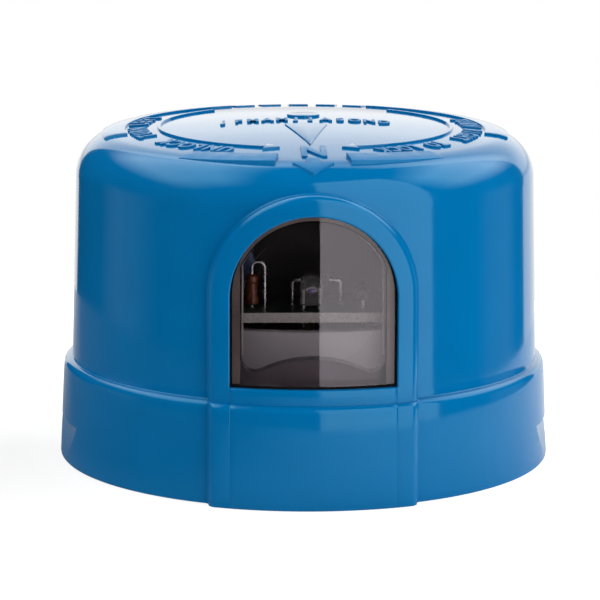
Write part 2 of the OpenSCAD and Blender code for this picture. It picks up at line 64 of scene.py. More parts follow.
# Sizes of the cover in millimetres and degrees, the same as the solids have
MM = 0.001
RIM_R = 41.5
SKIRT_H = 16.7
SKIRT_DRAFT = math.radians(2.5)
SKIRT_EDGE = 1.2
SKIRT_STEP = 1.4
SKIRT_IN_R = 39.2
SKIRT_TOP_R = RIM_R - SKIRT_H * math.tan(SKIRT_DRAFT)
SHELF_Z = 15.0
DOME_R = SKIRT_TOP_R - SKIRT_STEP
DOME_DRAFT = math.radians(1.5)
COVER_H = 56.3
TOP_ROUND = 7.2
WALL = 2.1
CROWN_R = 320.0
CROWN_Z = COVER_H - CROWN_R
WINDOW_HALF = 13.3
SILL_Z = 19.2
ARCH_Z = 33.5
WINDOW_FACE = 1.1
FLANGE_T = 1.0
POCKET_SIDE = 2.0
POCKET_TOP = 1.0
POCKET_CORNER = 2.2
POCKET_FOOT = 2.3
POCKET_RISE = 2.3
FRAME_W = 3.4
FRAME_HALF = WINDOW_HALF + FRAME_W
FRAME_RAISE = 2.0
SKIRT_RAISE = 1.785
PRY_ANGLE = 80.5
PRY_H = 7.0
PRY_RISE = 0.3
PRY_DEPTH = 1.2
BEAD_ANGLES = (25, 155, 205, 335)
BEAD_SPAN = 18
BEAD_Z = (12.5, 13.5)
BEAD_T = 0.5

# Rounded edges of the moulding, too fine for the solids
FRAME_EDGE = 1.0
FRAME_ROOT = 0.3
OPENING_EDGE = 0.35
PARTING_EDGE = 0.07
RIM_EDGE = 0.3
MARK_EDGE = 0.1
BEAD_EDGE = 0.2

# How far surfaces run on under those that hide their ends; the first three are shares
SHELL_UNDER_FRAME = 0.45
FRAME_BACK = 0.8
RIM_FOOT = 0.6
SHELL_UNDER_SILL = 1.2
FRAME_BELOW = 1.0
SILL_BACK = 2.4
BLOCK_TUCK = 0.6
ROOT_SINK = 0.02
BEAD_ROOT = 0.4

# Rows and columns of the moulding: at its axis, by a pry pocket, above the sill and by a groove
AXIS_R = 0.02
PRY_LEDGE = 0.02
PRY_REACH = 13
PRY_MARGIN = 0.5
EDGE_TURN = (0.05, 0.4)
GROOVE_CLEAR = 1.0
FRONT_STEPS = 64
ROUND_STEPS = 14
WELD = 1e-7
SHARP_ANGLE = math.radians(38)

# Ends of a snap bead: angles from its end to its face and to its even part, and its fall back
BEAD_TURN = 0.4
BEAD_EVEN = 1.0
BEAD_FALL = 0.45

# Cloud in the window's thick rim, the painted highlight line along the edge of its pocket, and the
# seal round its foot, which also paints the shadow of the gap there
FROST_DEPTH = 1.7
FROST_T = 0.1
FROST_GAP = 0.15
POCKET_LINE = 0.16
POCKET_LINE_OFF = 1.2 * POCKET_LINE
POCKET_LINE_LOW = 24.2
SEAL_SHADOW_GAP = 0.03
SEAL_SHADOW_W = 0.42
SEAL_SHADOW_H = 0.06
SEAL_SHADOW_TAPER = 9.0
# Section of the seal, which also paints the gap's shadow: share of its width, and height above the
# pane
SEAL_SHADOW_SECTION = ((0, 0), (0, SEAL_SHADOW_H), (0.8, SEAL_SHADOW_H), (1, 0.01))

# Marks on the top: heights, radii, and angles from the front
MARK_H = 0.35
MARK_FOOT = -0.2
RING_STEP = 2.5
CORNER_LIMIT = 0.35
TURN_R = 24.6
TURN_W = 0.6
TURN_SPAN = (17, 142)
HEAD_LEN = 2.3
HEAD_W = 3.2
HEAD_LAP = 0.2
RIDGE_R = (30.3, 34.2)
RIDGE_SPAN = (79, 157)
PAD_SPAN = (10.3, 38.5)
PAD_HEIGHTS = (0.65, 0.1)
DASH_H = 0.24
DASH_HALF = 3.2
DASH_ANGLES = (162, 171, 180, 189, 198)
NEEDLE_TIP = 22.0
NEEDLE_FOOT = 3.8
NEEDLE_W = 7.0
NEEDLE_H = 0.345
NEEDLE_SLOPE = 0.14
NEEDLE_BLUNT = 0.02
NEEDLE_EDGE = 0.03
NEEDLE_SHOULDER = 0.96
SUN_Y = 7.6
SUN_R = 2.8
POINTER_HALF = 3.3
POINTER_Y = 33.9
POINTER_TIP = 36.3
STEM_HALF = 1.1
STEM_Y = 31.9

# Lettering on the top; a word has its first letter's angle, its letters' pitch and share of width
LETTER_H = 0.27
LETTER_EDGE = 0.03
LETTER_BOLD = 0.03
WORDS = (("UNLOCK", -29, -5.3, 0.72), ("TO LOCK", 49, -4.1, 0.58),
         ("TURN LEFT", -70, -5.5, 0.72), ("TURN RIGHT", 108, -5.1, 0.68))
WORD_R = 28.0
WORD_SIZE = 4.4
NORTH_X = 0.35
NORTH_Y = 27.6
NORTH_SIZE = 9.4
NORTH_NARROW = 0.62
MONTHS = "JFMAMJJASOND"
ROW_X = -0.2
ROW_Y = 1.3
ROW_R = 48.0
ROW_PITCH = 2.45
ROW_SIZE = 4.2
ROW_NARROW = 0.66

# Inside of the clear sensor: depth behind its lens, height, and share of height to width of its
# chip. The chip, its dish and the bond beside it are profiles of (radius, depth); the pale bond
# also paints the highlight dot beside the chip.
DIE_DEPTH = 1.1
DIE_Z = 2.55
DIE_FLAT = 0.62
BOND_HIGHLIGHT_X = 1.3
DIE_PROFILE = ((0.02, -0.10), (0.18, -0.09), (0.32, -0.05), (0.42, 0.0), (0.42, 0.06))
DISH_PROFILE = ((0.40, 0.02), (0.50, -0.04), (0.66, -0.14), (0.74, -0.12), (0.76, -0.04),
                (0.70, 0.12), (0.02, 0.14))
BOND_HIGHLIGHT_PROFILE = ((0.01, -0.24), (0.14, -0.20), (0.24, -0.08), (0.26, 0.02), (0.20, 0.12),
                (0.01, 0.14))
# Legs of its lead frame: both sides and the drop below the chip, then depths from the foot up
LEGS = ((-1.45, -1.05, 0.1), (1.05, 1.45, 0.3))
LEG_DEPTHS = (0.3, 0.3, 0.25, 0.2)
LEG_FOOT = 0.2
LEG_STRAIGHT = 0.5
LEG_EDGE = 0.06
LEG_BULGE = 0.05
LEG_T = 0.2

# Photograph: size of its frame, focal length in its pixels, and where the axis point falls
PHOTO_PX = 600
FOCAL_PX = 3235.0
AXIS_POINT = Vector((0, 0, 27)) * MM
AXIS_PX = (304.2, 292.3)
CAMERA_DISTANCE = 0.550
CAMERA_AZIMUTH = -2.2
CAMERA_ELEVATION = 11.2
CAMERA_ROLL = 0.25
CAMERA_CLIP = (0.01, 20)
SENSOR_WIDTH = 36.0

# Studio in metres: the floor's disc, and the backdrop that reflections see, by direction
FLOOR_R = 0.152
FLOOR_X = -0.027
FLOOR_DROP = -0.0001
FLOOR_SIDES = 128
FLOOR_LIFT = 0.80
FLOOR_FADE = (0.048, 0.085)
# Painted light on the floor: its colour shades from grey at the left to white at the right and
# behind, where the lamps' light falls
FLOOR_PAINTED_SHADES = ((0.10, 0.10, 0.10), (0.75, 0.75, 0.75))
FLOOR_PAINTED_BLEND = (-0.026, 0.064)
FLOOR_PAINTED_TURN = 0.55
BACKDROP_AZIMUTH = 169.5
BACKDROP_EDGE = (0.846, 0.856)
BACKDROP_PEAK = 2.2
BACKDROP_FALL = ((-0.5, 0.4), (-0.05, 0.75), (0.0, 0.5), (0.06, 0.85), (0.2, 0.9), (0.34, 0.65),
                 (0.74, 0.55), (0.80, 0.9), (0.89, 0.9), (0.93, 0.0))
ROOM_LEVEL = 0.01
ROOM_SHADE = (0.86, 0.80, 0.71)

# Lamps that face the object, with their size in metres and the radiance of their face
FILL = dict(distance=1.0, size=(0.7, 0.9), glossy=False)
LAMPS = {
    "key_softbox": dict(azimuth=33.3, elevation=0, distance=0.70, size=(0.757, 2.1), radiance=1.95,
                        rise=0.45),
    "front_fill": dict(azimuth=-22, elevation=8, radiance=0.65, through=False, **FILL),
    "left_fill": dict(azimuth=-68, elevation=15, radiance=1.36, **FILL),
    "far_left_fill": dict(azimuth=-120, elevation=10, radiance=1.2, **FILL),
    "far_right_fill": dict(azimuth=112, elevation=10, radiance=0.75, **FILL),
    "left_overhead": dict(azimuth=-112, elevation=55, distance=1.0, size=(2.0, 0.95), radiance=2.6,
                          fade=0.3),
    "right_overhead": dict(azimuth=108, elevation=42, distance=1.0, size=(1.45, 0.9), radiance=2.9,
                           fade=0.3),
    "left_panel": dict(azimuth=-99, elevation=-8, distance=0.8, size=(0.62, 0.42), radiance=0.28,
                       fade=0.35),
    "right_panel": dict(azimuth=107, elevation=-8, distance=0.8, size=(0.50, 0.42), radiance=0.22,
                        fade=0.3),
    "underside_fill": dict(azimuth=0, elevation=-90, distance=0.087, size=(0.07, 0.07),
                           radiance=18),
}

# Surfaces: features to a metre and detail of their noises, and how far these change the roughness
NOISE_SPREAD = (0.3, 0.7)
CLOUD = (140, 3)
SHEEN = (420, 4)
SHEEN_SPREAD = (0.8, 1.25)
METAL_CLOUD = (500, 4)
METAL_SPREAD = (0.7, 1.4)
SCRATCH = (2500, 2)
SCRATCH_DEPTH = 0.000004


def direction(azimuth, elevation):
    """Unit vector to a place seen from the object, with azimuth from the front towards +X"""
    a = math.radians(azimuth)
    e = math.radians(elevation)
    return Vector((math.sin(a) * math.cos(e), -math.cos(a) * math.cos(e), math.sin(e)))


def steps(start, end, count):
    """Values from start to end in count even steps, both ends included"""
    return [start + (end - start) * i / count for i in range(count + 1)]


def arc(centre, radius, start, end, count):
    """Points on an arc, with its angles in radians"""
    return [(centre[0] + radius * math.cos(a), centre[1] + radius * math.sin(a))
            for a in steps(start, end, count)]


# Node helpers


def ranged(tree, value, low, high, start=NOISE_SPREAD[0], end=NOISE_SPREAD[1]):
    """Value that goes from low to high as the given one goes from start to end"""
    node = tree.nodes.new("ShaderNodeMapRange")
    node.inputs["From Min"].default_value = start
    node.inputs["From Max"].default_value = end
    node.inputs["To Min"].default_value = low
    node.inputs["To Max"].default_value = high
    tree.links.new(value, node.inputs["Value"])
    return node.outputs["Result"]


def blended(tree, value, first, second):
    """Colour that goes from first to second as value goes from 0 to 1"""
    node = tree.nodes.new("ShaderNodeMix")
    node.data_type = "RGBA"
    color_a = next(s for s in node.inputs if s.name == "A" and s.type == "RGBA")
    color_b = next(s for s in node.inputs if s.name == "B" and s.type == "RGBA")
    for socket, given in ((color_a, first), (color_b, second)):
        if isinstance(given, tuple):
            socket.default_value = (*given, 1)
        else:
            tree.links.new(given, socket)
    tree.links.new(value, node.inputs["Factor"])
    return next(s for s in node.outputs if s.type == "RGBA")


def math_step(tree, operation, *values):
    """Result of a math node, with each value a socket or a number"""
    node = tree.nodes.new("ShaderNodeMath")
    node.operation = operation
    for socket, given in zip(node.inputs, values):
        if isinstance(given, (int, float)):
            socket.default_value = given
        else:
            tree.links.new(given, socket)
    return node.outputs[0]


def vector_step(tree, operation, value, other=None):
    """Vector math node on a socket and a fixed vector"""
    node = tree.nodes.new("ShaderNodeVectorMath")
    node.operation = operation
    tree.links.new(value, node.inputs[0])
    if other is not None:
        node.inputs[1].default_value = other
    return node


def split_vector(tree, value):
    node = tree.nodes.new("ShaderNodeSeparateXYZ")
    tree.links.new(value, node.inputs[0])
    return node.outputs


# Camera, light and floor


def add_camera():
    camera = bpy.data.cameras.new("camera")
    camera.sensor_width = SENSOR_WIDTH
    camera.lens = FOCAL_PX * SENSOR_WIDTH / PHOTO_PX
    camera.clip_start, camera.clip_end = CAMERA_CLIP
    toward = direction(CAMERA_AZIMUTH, CAMERA_ELEVATION)
    turn = toward.to_track_quat("Z", "Y")
    right = turn @ Vector((1, 0, 0))
    up = turn @ Vector((0, 1, 0))
    per_px = CAMERA_DISTANCE / FOCAL_PX
    aim = AXIS_POINT - right * (AXIS_PX[0] - PHOTO_PX / 2) * per_px
    aim -= up * (PHOTO_PX / 2 - AXIS_PX[1]) * per_px
    obj = bpy.data.objects.new("camera", camera)
    obj.location = aim + toward * CAMERA_DISTANCE
    roll = Matrix.Rotation(math.radians(CAMERA_ROLL), 4, "Z")
    obj.rotation_euler = (turn.to_matrix().to_4x4() @ roll).to_euler()
    bpy.context.scene.collection.objects.link(obj)
    bpy.context.scene.camera = obj


def soften(lamp, share):
    """Fade a lamp towards its edges, over a share of its width and height"""
    lamp.use_nodes = True
    tree = lamp.node_tree
    across = split_vector(tree, tree.nodes.new("ShaderNodeNewGeometry").outputs["Parametric"])
    factors = []
    for axis in "XY":
        from_edge = math_step(tree, "PINGPONG", across[axis], 0.5)
        factors.append(ranged(tree, from_edge, 0, 1, 0, share))
    both = math_step(tree, "MULTIPLY", *factors)
    tree.links.new(both, tree.nodes["Emission"].inputs["Strength"])


def add_softbox(name, azimuth, elevation, distance, size, radiance, rise=0.0, fade=0.0,
                glossy=True, through=True):
    """A rectangular lamp that faces the object

    fade is the share of its size over which it fades to its edges. glossy says if shiny surfaces
    show it, and through if it shines through the window.
    """
    lamp = bpy.data.lights.new(name, "AREA")
    lamp.shape = "RECTANGLE"
    lamp.size, lamp.size_y = size
    lamp.energy = radiance * math.pi * size[0] * size[1]
    if fade:
        soften(lamp, fade)
    toward = direction(azimuth, elevation)
    obj = bpy.data.objects.new(name, lamp)
    obj.location = AXIS_POINT + toward * distance + Vector((0, 0, rise))
    obj.rotation_euler = toward.to_track_quat("Z", "Y").to_euler()
    obj.visible_camera = False
    obj.visible_glossy = glossy
    obj.visible_transmission = through
    bpy.context.scene.collection.objects.link(obj)


def ramp_place(height):
    """Place on a ramp for the upward part of a direction, which goes from -1 to 1"""
    return (height + 1) / 2


def backdrop_fall(tree, height):
    """Brightness of the backdrop by the upward part of a direction"""
    fall = tree.nodes.new("ShaderNodeValToRGB")
    stops = fall.color_ramp.elements
    for spot, shade in BACKDROP_FALL[1:-1]:
        stops.new(ramp_place(spot)).color = (shade, shade, shade, 1)
    for stop, (spot, shade) in zip((stops[0], stops[-1]), (BACKDROP_FALL[0], BACKDROP_FALL[-1])):
        stop.position = ramp_place(spot)
        stop.color = (shade, shade, shade, 1)
    tree.links.new(ranged(tree, height, 0, 1, -1, 1), fall.inputs["Fac"])
    return fall.outputs["Color"]


def backdrop_level(tree):
    """Strength of the surroundings: a bright backdrop behind the object, in a dark room"""
    place = tree.nodes.new("ShaderNodeTexCoord").outputs["Generated"]
    flat = vector_step(tree, "MULTIPLY", place, (1, 1, 0))
    heading = vector_step(tree, "NORMALIZE", flat.outputs["Vector"])
    back = direction(BACKDROP_AZIMUTH, 0)
    toward = vector_step(tree, "DOT_PRODUCT", heading.outputs["Vector"], back)
    behind = ranged(tree, toward.outputs["Value"], 0, BACKDROP_PEAK, *BACKDROP_EDGE)
    fall = backdrop_fall(tree, split_vector(tree, place)["Z"])
    return math_step(tree, "MULTIPLY_ADD", behind, fall, ROOM_LEVEL)


def add_world():
    """White to the camera; reflections see the backdrop behind and the dark room in front"""
    world = bpy.data.worlds.new("studio")
    bpy.context.scene.world = world
    world.use_nodes = True
    tree = world.node_tree
    tree.nodes.clear()
    output = tree.nodes.new("ShaderNodeOutputWorld")
    mix = tree.nodes.new("ShaderNodeMixShader")
    white = tree.nodes.new("ShaderNodeBackground")
    white.inputs["Color"].default_value = (1, 1, 1, 1)
    room = tree.nodes.new("ShaderNodeBackground")
    room.inputs["Color"].default_value = (*ROOM_SHADE, 1)
    path = tree.nodes.new("ShaderNodeLightPath")
    tree.links.new(backdrop_level(tree), room.inputs["Strength"])
    tree.links.new(path.outputs["Is Camera Ray"], mix.inputs["Fac"])
    tree.links.new(room.outputs[0], mix.inputs[1])
    tree.links.new(white.outputs[0], mix.inputs[2])
    tree.links.new(mix.outputs[0], output.inputs["Surface"])


def floor_painted_light(tree, place):
    """Painted light on the floor: grey at the left to white at the right and behind, standing in
    for the lamps' light that falls there, which the skirt mirrors
    """
    across = split_vector(tree, place)
    behind = math_step(tree, "MAXIMUM", across["Y"], 0)
    along = math_step(tree, "MULTIPLY_ADD", behind, FLOOR_PAINTED_TURN, across["X"])
    return blended(tree, ranged(tree, along, 0, 1, *FLOOR_PAINTED_BLEND), *FLOOR_PAINTED_SHADES)


def floor_material():
    """Matt, with painted light from grey to white across it, lifted to white for the camera, and
    clear to what comes from below
    """
    mat = bpy.data.materials.new("pale_floor")
    mat.use_nodes = True
    tree = mat.node_tree
    tree.nodes.clear()
    output = tree.nodes.new("ShaderNodeOutputMaterial")
    matt = tree.nodes.new("ShaderNodeBsdfDiffuse")
    glow = tree.nodes.new("ShaderNodeEmission")
    add = tree.nodes.new("ShaderNodeAddShader")
    clear = tree.nodes.new("ShaderNodeBsdfTransparent")
    mix = tree.nodes.new("ShaderNodeMixShader")
    path = tree.nodes.new("ShaderNodeLightPath")
    geometry = tree.nodes.new("ShaderNodeNewGeometry")
    place = tree.nodes.new("ShaderNodeTexCoord").outputs["Object"]
    away = vector_step(tree, "DISTANCE", place, (-FLOOR_X, 0, 0))
    white = ranged(tree, away.outputs["Value"], FLOOR_LIFT, 1, *FLOOR_FADE)
    lift = math_step(tree, "MULTIPLY", path.outputs["Is Camera Ray"], white)
    below = math_step(tree, "MAXIMUM", geometry.outputs["Backfacing"],
                      path.outputs["Is Shadow Ray"])
    # Painted light: the floor's own colour goes from grey to white across it
    tree.links.new(floor_painted_light(tree, place), matt.inputs["Color"])
    tree.links.new(lift, glow.inputs["Strength"])
    tree.links.new(matt.outputs[0], add.inputs[0])
    tree.links.new(glow.outputs[0], add.inputs[1])
    tree.links.new(below, mix.inputs["Fac"])
    tree.links.new(add.outputs[0], mix.inputs[1])
    tree.links.new(clear.outputs[0], mix.inputs[2])
    tree.links.new(mix.outputs[0], output.inputs["Surface"])
    return mat


def add_floor():
    """A disc that catches the object's shadow"""
    bm = bmesh.new()
    bmesh.ops.create_circle(bm, cap_ends=True, segments=FLOOR_SIDES, radius=FLOOR_R)
    mesh = bpy.data.meshes.new("floor")
    bm.to_mesh(mesh)
    bm.free()
    floor = bpy.data.objects.new("floor", mesh)
    floor.location = (FLOOR_X, 0, FLOOR_DROP)
    bpy.context.scene.collection.objects.link(floor)
    mesh.materials.append(floor_material())


bpy.context.scene.view_settings.view_transform = "Standard"
add_camera()
add_world()
add_floor()
for lamp_name, lamp_settings in LAMPS.items():
    add_softbox(lamp_name, **lamp_settings)


# Materials


def new_material(name, color, roughness, metallic=0.0):
    """A principled material with its tree and shader; constants go straight on the shader"""
    mat = bpy.data.materials.new(name)
    mat.use_nodes = True
    shader = mat.node_tree.nodes["Principled BSDF"]
    shader.inputs["Base Color"].default_value = (*color, 1)
    shader.inputs["Roughness"].default_value = roughness
    shader.inputs["Metallic"].default_value = metallic
    return mat, mat.node_tree, shader


def tuned(mat, settings):
    """The material, after further constants are set on its shader"""
    shader = mat.node_tree.nodes["Principled BSDF"]
    for socket_name, value in settings.items():
        shader.inputs[socket_name].default_value = value
    return mat


def noise(tree, scale, detail=2.0):
    """Noise in the object's own metres, so that scale counts features to a metre"""
    place = tree.nodes.new("ShaderNodeTexCoord")
    node = tree.nodes.new("ShaderNodeTexNoise")
    node.inputs["Scale"].default_value = scale
    node.inputs["Detail"].default_value = detail
    tree.links.new(place.outputs["Object"], node.inputs["Vector"])
    return node.outputs["Fac"]


def bump(tree, shader, heights):
    """Chain of bumps, each a height value and its depth in metres"""
    normal = None
    for value, depth in heights:
        node = tree.nodes.new("ShaderNodeBump")
        node.inputs["Strength"].default_value = 1.0
        node.inputs["Distance"].default_value = depth
        tree.links.new(value, node.inputs["Height"])
        if normal is not None:
            tree.links.new(normal, node.inputs["Normal"])
        normal = node.outputs["Normal"]
    tree.links.new(normal, shader.inputs["Normal"])


def moulded(name, color, roughness, shade=0.06, grain=(1800, 0.000004), wave=(60, 0.00002)):
    """Moulded or coated surface: slight change of shade, sheen, fine grain and slow waves"""
    mat, tree, shader = new_material(name, color, roughness)
    cloud = ranged(tree, noise(tree, *CLOUD), 0, 1)
    dark = tuple(c * (1 - shade) for c in color)
    light = tuple(min(1, c * (1 + shade)) for c in color)
    tree.links.new(blended(tree, cloud, dark, light), shader.inputs["Base Color"])
    sheen = ranged(tree, noise(tree, *SHEEN), *(roughness * share for share in SHEEN_SPREAD))
    tree.links.new(sheen, shader.inputs["Roughness"])
    bump(tree, shader, [(noise(tree, wave[0]), wave[1]), (noise(tree, grain[0], 3), grain[1])])
    return mat


def metal(name, color, roughness, shade=0.08):
    """Metal with a slight change of shade and fine scratches"""
    mat, tree, shader = new_material(name, color, roughness, metallic=1.0)
    cloud = ranged(tree, noise(tree, *METAL_CLOUD), 0, 1)
    dark = tuple(c * (1 - shade) for c in color)
    tree.links.new(blended(tree, cloud, dark, color), shader.inputs["Base Color"])
    sheen = ranged(tree, noise(tree, *SCRATCH), *(roughness * share for share in METAL_SPREAD))
    tree.links.new(sheen, shader.inputs["Roughness"])
    bump(tree, shader, [(noise(tree, *SCRATCH), SCRATCH_DEPTH)])
    return mat


def blue_plastic(name, roughness):
    mat = moulded(name, (0.0, 0.148, 0.385), roughness, shade=0.03,
                  grain=(1500, 0.0000012), wave=(38, 0.00010))
    return tuned(mat, {"IOR": 1.49, "Specular Tint": (0.42, 0.9, 1.0, 1)})


def smoked_window():
    """Tinted right through, so that the thick rim is darker than the pane"""
    mat, tree, shader = new_material("smoked_window_clear", (0.98, 0.97, 0.98), 0.0)
    tree.links.new(ranged(tree, noise(tree, 300, 3), 0.0, 0.02), shader.inputs["Roughness"])
    bump(tree, shader, [(noise(tree, 40), 0.00004)])
    tint = tree.nodes.new("ShaderNodeVolumeAbsorption")
    tint.inputs["Color"].default_value = (0.18, 0.05, 0.15, 1)
    tint.inputs["Density"].default_value = 190
    tree.links.new(tint.outputs[0], tree.nodes["Material Output"].inputs["Volume"])
    return tuned(mat, {"IOR": 1.54, "Transmission Weight": 1.0,
                       "Specular Tint": (1.0, 0.95, 1.0, 1)})


def clear_epoxy():
    mat, tree, shader = new_material("clear_epoxy_lens", (0.96, 0.93, 0.91), 0.03)
    tree.links.new(ranged(tree, noise(tree, 900, 3), 0.01, 0.05), shader.inputs["Roughness"])
    bump(tree, shader, [(noise(tree, 700), 0.00001)])
    return tuned(mat, {"IOR": 1.54, "Transmission Weight": 0.9})


def board_green():
    """Green mask with copper tracks under it on the faces, and bare laminate at the edges"""
    mat, tree, shader = new_material("board_laminate", (0.03, 0.12, 0.06), 0.35)
    place = tree.nodes.new("ShaderNodeTexCoord")
    tracks = tree.nodes.new("ShaderNodeTexBrick")
    tracks.inputs["Color1"].default_value = (0.010, 0.035, 0.020, 1)
    tracks.inputs["Color2"].default_value = (0.012, 0.040, 0.022, 1)
    tracks.inputs["Mortar"].default_value = (0.022, 0.075, 0.040, 1)
    tracks.inputs["Scale"].default_value = 90
    tracks.inputs["Mortar Size"].default_value = 0.05
    tree.links.new(place.outputs["Object"], tracks.inputs["Vector"])
    geometry = tree.nodes.new("ShaderNodeNewGeometry")
    upright = math_step(tree, "ABSOLUTE", split_vector(tree, geometry.outputs["True Normal"])["Z"])
    weave = ranged(tree, noise(tree, 2600, 2), 0, 1)
    edge = blended(tree, weave, (0.52, 0.49, 0.44), (0.72, 0.69, 0.63))
    color = blended(tree, ranged(tree, upright, 0, 1), edge, tracks.outputs["Color"])
    tree.links.new(color, shader.inputs["Base Color"])
    bump(tree, shader, [(tracks.outputs["Fac"], 0.00003), (noise(tree, 2200, 2), 0.000008)])
    return mat


MATERIALS = {
    "blue_plastic": blue_plastic("blue_plastic_gloss", 0.085),
    "etched_blue": blue_plastic("blue_plastic_etched", 0.4),
    "smoked_window": smoked_window(),
    "grey_plastic": moulded("grey_plastic_matt", (0.52, 0.50, 0.51), 0.42),
    "gasket_rubber": moulded("gasket_rubber_matt", (0.028, 0.028, 0.03), 0.7, shade=0.2,
                             grain=(1200, 0.00004)),
    "brass": metal("brass_blade", (0.74, 0.55, 0.24), 0.24),
    "board_green": board_green(),
    "plated_steel": metal("plated_screw", (0.66, 0.66, 0.64), 0.28),
    "tin": metal("tinned_wire", (0.56, 0.55, 0.54), 0.26),
    "clear_epoxy": clear_epoxy(),
    "black_plastic": tuned(moulded("black_plastic_satin", (0.010, 0.005, 0.004), 0.38, shade=0.2),
                           {"Specular IOR Level": 0.25}),
    "blue_epoxy": moulded("varistor_coating", (0.03, 0.09, 0.22), 0.3, shade=0.15,
                          grain=(700, 0.00005)),
    "film_box": moulded("film_box_plastic", (0.30, 0.16, 0.05), 0.35),
    "can_sleeve": moulded("can_sleeve_film", (0.02, 0.022, 0.03), 0.22),
    "tan_epoxy": moulded("resistor_coating", (0.24, 0.055, 0.015), 0.3, shade=0.15),
    "die_film": tuned(moulded("sensor_die_film", (0.42, 0.34, 0.80), 0.2, shade=0.25,
                              grain=(4000, 0.000002)), {"Metallic": 0.4}),
    # Near black and almost without sheen: the seal, which also paints the shadow of the gap
    # between pane and frame
    "seal_and_gap_shadow": tuned(moulded("seal_and_gap_shadow_matt", (0.004, 0.004, 0.005), 0.7, shade=0.2),
                        {"Specular IOR Level": 0.06}),
    "silver_plate": moulded("silver_plate_dish", (0.94, 0.92, 0.93), 0.3),
    "rim_frost": moulded("rim_frost_matt", (0.50, 0.40, 0.35), 0.6, shade=0.25),
    # Pale matt colour of the line that paints a highlight along the window pocket's edge
    "painted_edge_highlight": moulded("painted_edge_highlight_matt", (0.90, 0.84, 0.80), 0.5),
    "dark_epoxy": moulded("load_resistor_coating", (0.05, 0.03, 0.025), 0.35, shade=0.2),
}
NODE_SLOTS = {"load_resistors": "dark_epoxy"}
for node_name, cad_obj in frame["nodes"].items():
    slot_name = NODE_SLOTS.get(node_name, cad_obj.material_slots[0].material.name)
    cad_obj.material_slots[0].material = MATERIALS[slot_name]


# Mesh helpers, in millimetres


def add_grid(bm, rows, wrap=False, keep=None):
    """Quads over rows of points

    wrap joins each row's end to its start, and keep picks the quads by their middle.
    """
    grid = [[bm.verts.new(Vector(p) * MM) for p in row] for row in rows]
    for low, high in zip(grid, grid[1:]):
        count = len(low)
        for i in range(count if wrap else count - 1):
            corners = (low[i], low[(i + 1) % count], high[(i + 1) % count], high[i])
            middle = sum((v.co for v in corners), Vector()) / 4 / MM
            if keep is None or keep(middle):
                bm.faces.new(corners)
    return grid


def finish_piece(name, bm, slot, finish=None):
    """Turn a bmesh into a smooth piece on the body, in its slot's material or its own finish"""
    bmesh.ops.remove_doubles(bm, verts=bm.verts, dist=WELD)
    bmesh.ops.delete(bm, geom=[v for v in bm.verts if not v.link_faces], context="VERTS")
    mesh = bpy.data.meshes.new(name)
    bm.to_mesh(mesh)
    bm.free()
    mesh.shade_smooth()
    mesh.set_sharp_from_angle(angle=SHARP_ANGLE)
    mesh.materials.append(MATERIALS[finish or slot])
    obj = bpy.data.objects.new(name, mesh)
    bpy.context.scene.collection.objects.link(obj)
    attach(obj, "root")
    return obj


def around(r, angle, z):
    """Point at radius r and angle from the front, in degrees"""
    a = math.radians(angle)
    return (r * math.sin(a), -r * math.cos(a), z)


# Cover: a shell of revolution with the window's place left open


def round_centre():
    """Centre (r, z) of the rounded edge that joins the crown to the dome's wall"""
    lean = math.tan(DOME_DRAFT)
    reach = DOME_R + SKIRT_H * lean - TOP_ROUND / math.cos(DOME_DRAFT)
    half = reach * lean + CROWN_Z
    rest = reach ** 2 + CROWN_Z ** 2 - (CROWN_R - TOP_ROUND) ** 2
    z = (half + math.sqrt(half ** 2 - (1 + lean ** 2) * rest)) / (1 + lean ** 2)
    return reach - lean * z, z


ROUND_R, ROUND_Z = round_centre()
ROUND_TO = math.atan2(ROUND_Z - CROWN_Z, ROUND_R)


def dome_radius(z, grow=0.0):
    """Radius of the dome's wall or rounded edge at height z, grown outwards by grow"""
    bend = TOP_ROUND + grow
    if z <= ROUND_Z + bend * math.sin(DOME_DRAFT):
        return DOME_R - (z - SKIRT_H) * math.tan(DOME_DRAFT) + grow / math.cos(DOME_DRAFT)
    rise = min(z - ROUND_Z, bend)
    return ROUND_R + math.sqrt(bend * bend - rise * rise)


def top_height(r, grow=0.0):
    """Height of the crown or rounded edge at radius r, grown outwards by grow"""
    bend = TOP_ROUND + grow
    if r <= ROUND_R + bend * math.cos(ROUND_TO):
        return CROWN_Z + math.sqrt((CROWN_R + grow) ** 2 - r * r)
    reach = min(r - ROUND_R, bend)
    return ROUND_Z + math.sqrt(bend * bend - reach * reach)


def skirt_radius(z):
    return RIM_R - z * math.tan(SKIRT_DRAFT)


def outer_profile():
    """Half section of the outside, from the middle of the top down to the rim, as (r, z)"""
    ledge_r = SKIRT_TOP_R - SKIRT_EDGE / math.cos(SKIRT_DRAFT)
    root = ledge_r - DOME_R
    edge = ROUND_R + TOP_ROUND * math.cos(ROUND_TO)
    points = [(r, top_height(r)) for r in steps(AXIS_R, edge, 16)]
    points += arc((ROUND_R, ROUND_Z), TOP_ROUND, ROUND_TO, DOME_DRAFT, ROUND_STEPS)[1:]
    low = SKIRT_H + root
    points += [(dome_radius(z), z) for z in steps(ROUND_Z, low, 24)]
    points += arc((ledge_r, low), root, math.pi, 1.5 * math.pi, 4)[1:]
    points += arc((ledge_r, SKIRT_H - SKIRT_EDGE), SKIRT_EDGE, math.pi / 2, SKIRT_DRAFT, 7)
    points += [(skirt_radius(z), z) for z in steps(SKIRT_H - SKIRT_EDGE, PRY_H + PRY_LEDGE, 6)[1:]]
    points += [(skirt_radius(z), z) for z in steps(PRY_H, PRY_RISE, 14)]
    points += arc((RIM_R - RIM_EDGE, RIM_EDGE), RIM_EDGE, 0, -math.pi / 2, 3)[1:]
    return points


